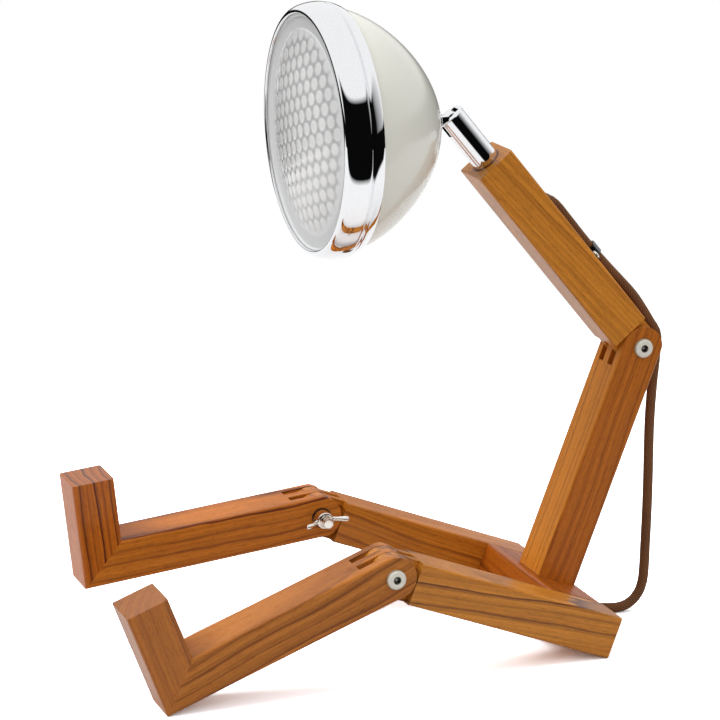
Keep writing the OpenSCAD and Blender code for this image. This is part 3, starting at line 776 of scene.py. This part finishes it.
def braid(name, base, light, dark, turns, pitch):
    """Woven textile cover: strands cross at an angle round the cord, turns of them side by side,
    and each goes once round in pitch metres times turns."""
    g = Graph(name)
    uv = g.add("SeparateXYZ", {0: g.add("UVMap", uv_map="along").outputs[0]})
    around = g.math("MULTIPLY", uv.outputs[0], turns * 2 * math.pi)
    along = g.math("MULTIPLY", uv.outputs[1], 2 * math.pi / pitch)
    one = g.math("SINE", g.math("ADD", around, along))
    two = g.math("SINE", g.math("SUBTRACT", around, along))
    weave = g.math("MULTIPLY_ADD", g.math("MAXIMUM", one, two), 0.5, 0.5)
    which = g.math("GREATER_THAN", one, two)
    where = g.add("TexCoord").outputs["Object"]
    fuzz = g.noise(where, 2600.0, 2.0, 0.7)
    cloud = g.noise(where, 40.0, 2.0)
    strand = g.mix(which, light, base)
    colour = g.mix(g.ramp(weave, [(0.35, 0.0), (0.7, 1.0)]), dark, strand)
    colour = g.mix(0.8, colour, g.ramp(fuzz, [(0.3, 0.75), (0.7, 1.15)]), "MULTIPLY")
    colour = g.mix(0.7, colour, g.ramp(cloud, [(0.3, 0.85), (0.7, 1.1)]), "MULTIPLY")
    height = g.math("MULTIPLY_ADD", fuzz, 0.25, weave)
    return g.surface(
        Base_Color=colour, Roughness=0.72, Normal=g.bump(height, 0.5, 0.0003),
        Specular_IOR_Level=0.3, Sheen_Weight=0.4, Sheen_Roughness=0.4,
        Sheen_Tint=srgb(200, 160, 125))


cord_cloth = braid("cord_cloth", srgb(122, 78, 46), srgb(138, 92, 56), srgb(78, 48, 28), 10, 0.0022)
cord = tube("fabric_cord", cord_path, CORD_D / 2, CORD_SIDES)
dress(cord, cord_cloth)
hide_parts("cord", "cord_coil", "cord_tail")
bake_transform(cord)

# ------------------------------------------------------------------ tie and plug

tie_in, tie_out = (coil_r0 - 4) * MM, (coil_r0 + 3 * COIL_PITCH + 3.3) * MM
tie_low, tie_high, tie_skin = 0.0006, 0.01335, 0.0006
TIE_HALF = 0.005


def rounded_box(x0, x1, z0, z1, r):
    """Corners of a rounded rectangle in X and Z."""
    centres = ((x1 - r, z1 - r), (x0 + r, z1 - r), (x0 + r, z0 + r), (x1 - r, z0 + r))
    points = []
    for corner, (x, z) in enumerate(centres):
        points += arc(x, z, r, 90 * corner, 90 * corner + 90, 5)
    return points


inner = rounded_box(-tie_out, -tie_in, tie_low, tie_high, 0.0028)
outer = rounded_box(-tie_out - tie_skin, -tie_in + tie_skin, 0, tie_high + tie_skin, 0.0034)
strap_verts, strap_faces = [], []
count = len(inner)
for loop, y in ((inner, -TIE_HALF), (outer, -TIE_HALF), (outer, TIE_HALF), (inner, TIE_HALF)):
    strap_verts += [(x + COIL_AT[0] * MM, y + COIL_AT[1] * MM, z) for x, z in loop]
for ring in range(4):
    for k in range(count):
        n, other = (k + 1) % count, (ring + 1) % 4
        strap_faces.append([ring * count + k, other * count + k, other * count + n, ring * count + n])
strap = piece("cord_strap", strap_verts, strap_faces, sharp=40)
dress(strap, plastic("strap_web", srgb(46, 43, 41), 0.75, 1500.0))
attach(strap, "seat")
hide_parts("coil_tie")

PLUG_AT = Vector(cord_points[-1])
PLUG_SIDES = 40
SLEEVE_END = 0.066


def section(x, w, h, power):
    """Cross-section of the plug at x, from a width, a height and a power: 2 is an ellipse, and
    more is nearer to a rectangle."""
    points = []
    for k in range(PLUG_SIDES):
        a = 2 * math.pi * k / PLUG_SIDES
        c, s = math.cos(a), math.sin(a)
        y = w / 2 * math.copysign(abs(c) ** (2 / power), c)
        z = h / 2 * math.copysign(abs(s) ** (2 / power), s)
        points.append((x, y, z))
    return points


# Each row is a section. The five ribs of the strain relief come first, and then the flat body
plug_sections = [(0.0, 0.0066, 0.0066, 2)]
for rib in range(5):
    at, size = 0.0006 + 0.0038 * rib, 0.0076 + 0.0005 * rib
    plug_sections += [
        (at, size, size, 2), (at + 0.0022, size + 0.0003, size + 0.0003, 2),
        (at + 0.0025, size - 0.0010, size - 0.0010, 2), (at + 0.0035, size - 0.0008, size - 0.0008, 2)]
plug_sections += [
    (0.0205, 0.0112, 0.0108, 2.2), (0.0225, 0.0150, 0.0124, 2.6), (0.0250, 0.0200, 0.0134, 3.0),
    (0.0290, 0.0240, 0.0138, 3.6), (0.0340, 0.0256, 0.0139, 4.2), (0.0420, 0.0260, 0.0140, 4.6),
    (0.0540, 0.0259, 0.0139, 4.6), (0.0554, 0.0254, 0.0134, 4.6), (0.0560, 0.0240, 0.0122, 4.6)]
plug_verts = []
for row in plug_sections:
    plug_verts += section(*row)
plug = piece(
    "flat_plug", plug_verts, solid(len(plug_sections), PLUG_SIDES),
    Matrix.Translation(PLUG_AT) @ Matrix.Rotation(-QUARTER, 4, "Z"), sharp=50)
dress(plug, plug_black)
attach(plug, "seat")
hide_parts("plug_body")


def prongs():
    """Brass pins with black sleeves over their first half."""
    g = Graph("plug_prongs")
    where = g.add("TexCoord").outputs["Object"]
    y = g.add("SeparateXYZ", {0: where}).outputs[1]
    bare = g.math("LESS_THAN", y, PLUG_AT.y - SLEEVE_END)
    marks = g.noise(where, 900.0, 3.0)
    brass = g.ramp(marks, [(0.3, srgb(196, 172, 110)), (0.7, srgb(214, 196, 140))])
    return g.surface(
        Base_Color=g.mix(bare, srgb(30, 28, 27), brass), Metallic=bare,
        Roughness=g.math("MULTIPLY_ADD", bare, -0.2, 0.45), Normal=g.bump(marks, 0.03, 0.0001))


dress(nodes["plug_pins"], prongs())

# ------------------------------------------------------------------ head

# Heights are along the head's axis, from the pin of the neck out to the rim's front at REACH
REACH, RIM_R, GLASS_R = 0.090, 0.072, 0.066
APEX, RIM_BACK = 0.0107, 0.0677
BOWL_R, BOWL_LIP, SHEET = 0.069, 0.0737, 0.0012
HOLE_R, PAD_R = 0.0031, 0.0076


def bowl_side(r, length, start, steps):
    """Points of the bowl's side from its back to its lip."""
    points = []
    for i in range(steps + 1):
        h = length * (i / steps) ** 1.9
        points.append((r * (1 - (1 - h / length) ** 1.6) ** 0.565, start + h))
    return points


def bowl_skin(r, length, start):
    """One side of the bowl's sheet: a flat pad round the stem's hole, and then the curve."""
    curve = [p for p in bowl_side(r, length, start, 48) if p[0] > PAD_R + 0.003]
    shoulder = [(PAD_R + 0.0008, start + 0.0001), (PAD_R + 0.0015, start + 0.0004),
                (PAD_R + 0.0022, start + 0.00075)]
    return [(HOLE_R, start), (PAD_R, start)] + shoulder + curve


outside = bowl_skin(BOWL_R, BOWL_LIP - APEX, APEX)
inside = bowl_skin(BOWL_R - SHEET, BOWL_LIP - APEX - SHEET, APEX + SHEET)
bowl = lathe("lamp_bowl", outside + inside[::-1], 192, HEAD)
dress(bowl, cream)

# The rim rolls over from the glass to its outside. Behind that it has a groove and a tapered skirt
ROLL, GROOVE = 0.013, REACH - 0.0152
front = [
    (GLASS_R + 0.001 + (RIM_R - GLASS_R - 0.001) * math.sin(math.radians(a)),
     REACH - ROLL + ROLL * math.cos(math.radians(a)))
    for a in np.linspace(8, 90, 15)]
rim_profile = (
    arc(GLASS_R + 0.0007, REACH - 0.0007, 0.0007, 170, 70, 6) + front + [
        (RIM_R - 0.0001, GROOVE + 0.0012), (RIM_R - 0.0004, GROOVE + 0.0007),
        (RIM_R - 0.0010, GROOVE + 0.0004), (RIM_R - 0.0012, GROOVE), (RIM_R - 0.0009, GROOVE - 0.0004),
        (RIM_R - 0.0003, GROOVE - 0.0007), (RIM_R - 0.0003, GROOVE - 0.0012),
        (RIM_R - 0.0007, GROOVE - 0.0027), (RIM_R - 0.0012, GROOVE - 0.0042),
        (RIM_R - 0.0018, GROOVE - 0.0056), (RIM_R - 0.0022, GROOVE - 0.0065),
        (RIM_R - 0.0026, RIM_BACK), (RIM_R - 0.0030, RIM_BACK),
        (RIM_R - 0.0032, RIM_BACK + 0.0004), (RIM_R - 0.0029, REACH - ROLL),
        (RIM_R - 0.0034, REACH - 0.006), (RIM_R - 0.0044, REACH - 0.0014),
        (GLASS_R, REACH - 0.0014)])
rim = lathe("chrome_rim", rim_profile, 256, HEAD, sharp=50)
dress(rim, chrome)

MIRROR_R, MIRROR_Z, MIRROR_APEX = 0.063, 0.082, 0.034
MIRROR_HOLE, MIRROR_SHEET, BRIM_R = 0.014, 0.0008, 0.067


def dish(r):
    """Height of the reflector's parabola at a radius."""
    return MIRROR_APEX + (MIRROR_Z - MIRROR_APEX) * (r / MIRROR_R) ** 2


dish_back = [(r, dish(r)) for r in np.linspace(MIRROR_HOLE, MIRROR_R, 40)]
dish_front = [
    (r, dish(r) + 0.0009) for r in np.linspace(MIRROR_HOLE, MIRROR_R - MIRROR_SHEET, 40)]
brim = [(BRIM_R, MIRROR_Z), (BRIM_R, MIRROR_Z + MIRROR_SHEET),
        (MIRROR_R - MIRROR_SHEET, MIRROR_Z + MIRROR_SHEET)]
reflector = lathe("reflector_dish", dish_back + brim + dish_front[::-1], 160, HEAD)
dress(reflector, metal("mirror_coat", srgb(252, 252, 252), 0.42))

BULB_AT, BULB_R = 0.058, 0.014
bulb_profile = [
    (0.0, 0.0393), (0.007, 0.0393), (0.007, 0.0449), (0.0082, 0.0462), (0.0096, 0.0476)]
bulb_profile += arc(0, BULB_AT, BULB_R, -42, 90, 24)
bulb_profile[-1] = (0.0, BULB_AT + BULB_R)
bulb = lathe("frosted_bulb", bulb_profile, 64, HEAD, closed=False)


def frosted():
    """Frosted bulb glass, drawn as a pale solid that lets a little light in."""
    g = Graph("frosted_glass")
    grain = g.noise(g.add("TexCoord").outputs["Object"], 1200.0, 3.0)
    return g.surface(
        Base_Color=srgb(250, 248, 240), Roughness=g.math("MULTIPLY_ADD", grain, 0.15, 0.25),
        Subsurface_Weight=0.3, Subsurface_Radius=(0.004, 0.004, 0.004),
        Normal=g.bump(grain, 0.05, 0.0001))


dress(bulb, frosted())

# Lens: a smooth domed front on a flat border, with a honeycomb of round cells on its back, which
# are RELIEF deep and fade out over FADE at the dome's edge
LENS_BACK, LENS_FACE, DOME, DOME_R = REACH - 0.0048, REACH - 0.0026, 0.0064, 0.0575
RELIEF, FADE = 0.0006, 0.006
LENS_SEGMENTS, LENS_RINGS = 384, 96
# The steps from one cell to its neighbours, and the middle of one cell
CELL_A, CELL_B, CELL_AT = (0.0098, 0.0028), (-0.0026, -0.0086), (0.0005, 0.0164)
CELL_R = 0.0056
# What turns a place into a count of steps along CELL_A and along CELL_B
cell_area = CELL_A[0] * CELL_B[1] - CELL_A[1] * CELL_B[0]
ACROSS_A = (CELL_B[1] / cell_area, -CELL_B[0] / cell_area)
ACROSS_B = (-CELL_A[1] / cell_area, CELL_A[0] / cell_area)


def honeycomb(x, y):
    """Height of a cell at a point, from 1 at its middle to 0 at its corners."""
    x, y = x - CELL_AT[0], y - CELL_AT[1]
    s = ACROSS_A[0] * x + ACROSS_A[1] * y
    t = ACROSS_B[0] * x + ACROSS_B[1] * y
    nearest = 1.0
    for i in (math.floor(s), math.floor(s) + 1):
        for j in (math.floor(t), math.floor(t) + 1):
            nearest = min(nearest, math.hypot(
                x - i * CELL_A[0] - j * CELL_B[0], y - i * CELL_A[1] - j * CELL_B[1]))
    return max(0.0, 1 - (nearest / CELL_R) ** 2)


def dome(r):
    """Height of the lens's dome at a radius."""
    return DOME * (1 - (r / DOME_R) ** 2)


def lens_mesh():
    """The lens in rings from the middle of its back, round its edge, to the middle of its face."""
    radii = list(np.linspace(0.0006, DOME_R - 0.0003, LENS_RINGS))
    verts = [(0, 0, LENS_BACK + dome(0) - RELIEF * honeycomb(0, 0))]
    for r in radii:
        fade = min(1, (DOME_R - r) / FADE)
        for x, y, back in circle(r, LENS_BACK + dome(r), LENS_SEGMENTS):
            verts.append((x, y, back - RELIEF * fade * honeycomb(x, y)))
    border = [
        (0.0583, LENS_BACK + 0.00002), (0.0592, LENS_BACK), (0.0668, LENS_BACK),
        (0.067, LENS_BACK + 0.0002), (0.067, REACH - 0.0018), (0.0668, REACH - 0.0016),
        (GLASS_R - 0.0006, REACH - 0.0016), (0.0652, REACH - 0.0020),
        (0.0648, LENS_FACE + 0.0002), (0.0642, LENS_FACE), (0.0590, LENS_FACE),
        (0.0582, LENS_FACE - 0.0002), (0.0578, LENS_FACE - 0.0002),
        (0.0573, LENS_FACE + dome(0.0573) + 0.00005)]
    border += [(r, LENS_FACE + dome(r)) for r in np.linspace(0.0565, 0.0008, 44)]
    for r, h in border:
        verts += circle(r, h, LENS_SEGMENTS)
    rings = len(radii) + len(border)
    last = 1 + (rings - 1) * LENS_SEGMENTS
    verts.append((0, 0, LENS_FACE + dome(0)))
    back_fan, face_fan = [], []
    for k in range(LENS_SEGMENTS):
        n = (k + 1) % LENS_SEGMENTS
        back_fan.append([0, 1 + n, 1 + k])
        face_fan.append([last + k, last + n, len(verts) - 1])
    return verts, back_fan + skin(rings, LENS_SEGMENTS, 1) + face_fan


lens = piece("honeycomb_lens", *lens_mesh(), HEAD, sharp=60)


def pressed_glass():
    """Pressed glass drawn nearly all milky, with the light through it painted on: bright cells with
    grey outlines, painted brighter in the middle of the lens, and a plain pale border."""
    g = Graph("pressed_glass")
    where = g.add("TexCoord").outputs["Object"]
    local = g.placed(where, NECK, (QUARTER + HEAD_PITCH, 0, 0))
    flat = g.vector("MULTIPLY", local, (1, 1, 0))
    radius = g.length(flat)
    from_cell = g.vector("SUBTRACT", flat, (*CELL_AT, 0))

    def wave(direction):
        """1 at each cell's middle, in waves along a direction."""
        return g.math("COSINE", g.math("MULTIPLY", g.dot(from_cell, (*direction, 0)), 2 * math.pi))

    between = (ACROSS_A[0] - ACROSS_B[0], ACROSS_A[1] - ACROSS_B[1])
    cells = g.math("ADD", g.math("ADD", wave(ACROSS_A), wave(ACROSS_B)), wave(between))
    cells = g.math("DIVIDE", g.math("ADD", cells, 1.5), 4.5)
    # Painted light: bright cells with grey outlines, for the light that the clear cells let through
    tone = g.ramp(cells, [
        (0.0, srgb(206, 207, 208)), (0.14, srgb(220, 221, 222)), (0.26, srgb(254, 254, 253)),
        (1.0, 1.0)])
    reach = g.math("MULTIPLY", radius, DM)
    inside = g.ramp(reach, [(0.52, 1.0), (0.575, 0.0)])
    pattern = g.math("MULTIPLY", g.ramp(cells, [(0.0, 0.0), (0.45, 1.0)]), inside)
    # Painted shade towards the lens's edge, which leaves its middle brighter
    painted_edge_shade = g.ramp(reach, [(0.0, 1.0), (0.34, 1.0), (0.46, 0.90), (0.57, 0.82)])
    tone = g.mix(1.0, tone, painted_edge_shade, "MULTIPLY")
    ripple = g.noise(where, 90.0, 2.0)
    cloudy = g.mix(1.0, tone, g.ramp(ripple, [(0.3, 0.95), (0.7, 1.0)]), "MULTIPLY")
    return g.surface(
        Base_Color=g.mix(inside, srgb(236, 237, 238), cloudy), Roughness=0.05,
        Transmission_Weight=0.06, IOR=1.45, Normal=g.bump(pattern, 0.35, 0.0008))


dress(lens, pressed_glass())
for made, node in (
        (bowl, "bowl"), (rim, "rim"), (reflector, "reflector"), (bulb, "bulb"), (lens, "lens")):
    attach(made, "head")
    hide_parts(node)

# ------------------------------------------------------------------ floor, light and background

HALF_FLOOR = 2.0
# The table's colour to bounced light, to a mirror and to the camera
TABLE_BOUNCE = (0.50, 0.49, 0.48, 1)
TABLE_MIRRORED = (0.95, 0.95, 0.95, 1)
TABLE_SHOWN = (2.40, 2.46, 2.55, 1)
WHITE, DARK = (1, 1, 1, 1), (0.003, 0.003, 0.003, 1)
# The table through glass, and the strength of the light from all round
THROUGH = (0.92, 0.92, 0.92, 1)
AMBIENT = 0.46
# The table's ends in a mirror, along X. Then the studio's dark part, by the direction in which it
# is seen: past SIDE_X and below BOX_Z, or below HORIZON_Z. SHARP is how fast the dark sets in
TABLE_LEFT, TABLE_RIGHT = -1.10, 0.41
SIDE_X, BOX_Z, HORIZON_Z = 0.03, 0.60, 0.13
SHARP = 12.0


def floor_material():
    """White table that keeps its soft contact shadows for the camera and turns clear further out.
    A mirror sees it end at TABLE_LEFT and TABLE_RIGHT, where the studio is dark. Through glass it
    is plain white, and to other light it is a plain pale floor."""
    g = Graph("studio_floor")
    where = g.add("TexCoord").outputs["Object"]
    x = g.add("SeparateXYZ", {0: where}).outputs[0]
    path = g.add("LightPath").outputs
    bounced, mirrored, shown = (
        g.add("BsdfDiffuse", {"Color": colour})
        for colour in (TABLE_BOUNCE, TABLE_MIRRORED, TABLE_SHOWN))
    dark, through = (g.add("Emission", {"Color": colour}) for colour in (DARK, THROUGH))
    past_right = g.math("MULTIPLY", g.math("SUBTRACT", x, TABLE_RIGHT), SHARP, clamp=True)
    past_left = g.math("MULTIPLY", g.math("SUBTRACT", TABLE_LEFT, x), SHARP, clamp=True)
    mirrored = g.blend(g.math("MAXIMUM", past_left, past_right), mirrored, dark)
    mirrored = g.blend(path["Is Transmission Ray"], mirrored, through)
    shiny = g.math("MAXIMUM", path["Is Glossy Ray"], path["Is Transmission Ray"])
    far = g.ramp(g.length(where), [(0.0, 0.0), (0.45, 0.0), (0.95, 1.0)])
    shown = g.blend(far, shown, g.add("BsdfTransparent"))
    return g.finish(g.blend(path["Is Camera Ray"], g.blend(shiny, bounced, mirrored), shown))


floor = piece("floor", [
    (-HALF_FLOOR, -HALF_FLOOR, 0), (HALF_FLOOR, -HALF_FLOOR, 0),
    (HALF_FLOOR, HALF_FLOOR, 0), (-HALF_FLOOR, HALF_FLOOR, 0)], [[0, 1, 2, 3]])
dress(floor, floor_material())


def studio():
    """White surroundings. A mirror sees a dark part in them: below a soft box on the camera's
    side, with an edge that softens towards +Y, and all round below the horizon."""
    g = Graph("studio", world=True)
    x, y, z = g.add("SeparateXYZ", {0: g.add("TexCoord").outputs["Generated"]}).outputs
    path = g.add("LightPath").outputs
    softness = g.math("MULTIPLY", g.math("MULTIPLY", y, 1.6, clamp=True), 0.55)
    softness = g.math("ADD", softness, 0.15)
    side = g.math("DIVIDE", g.math("SUBTRACT", x, SIDE_X), softness, clamp=True)
    low = g.math("MULTIPLY", g.math("SUBTRACT", BOX_Z, z), SHARP, clamp=True)
    below = g.math("MULTIPLY", g.math("SUBTRACT", HORIZON_Z, z), SHARP, clamp=True)
    dark_part = g.math("MAXIMUM", g.math("MULTIPLY", side, low), below)
    glossy, passing = path["Is Glossy Ray"], path["Is Transmission Ray"]
    mirror_only = g.math("SUBTRACT", glossy, passing, clamp=True)
    tone = g.mix(g.math("MULTIPLY", dark_part, mirror_only), WHITE, DARK)
    shown = g.add("Background", {"Color": tone, "Strength": 1.0})
    plain = g.add("Background", {"Color": WHITE, "Strength": AMBIENT})
    seen = g.math("MAXIMUM", path["Is Camera Ray"], g.math("MAXIMUM", glossy, passing))
    return g.finish(g.blend(seen, plain, shown))


scene.world = studio()


def sun(name, towards, strength, spread):
    """Soft sun that shines along towards."""
    data = bpy.data.lights.new(name, "SUN")
    data.energy, data.angle = strength, math.radians(spread)
    lamp = bpy.data.objects.new(name, data)
    lamp.rotation_mode = "QUATERNION"
    lamp.rotation_quaternion = Vector(towards).to_track_quat("-Z", "Y")
    lamp.visible_glossy = False
    scene.collection.objects.link(lamp)


sun("key", (0.2, 0.8, -1.0), 1.75, 40)
sun("top", (0.05, -0.25, -1.0), 0.40, 50)
sun("fill", (-0.9, -0.1, -0.6), 0.50, 60)
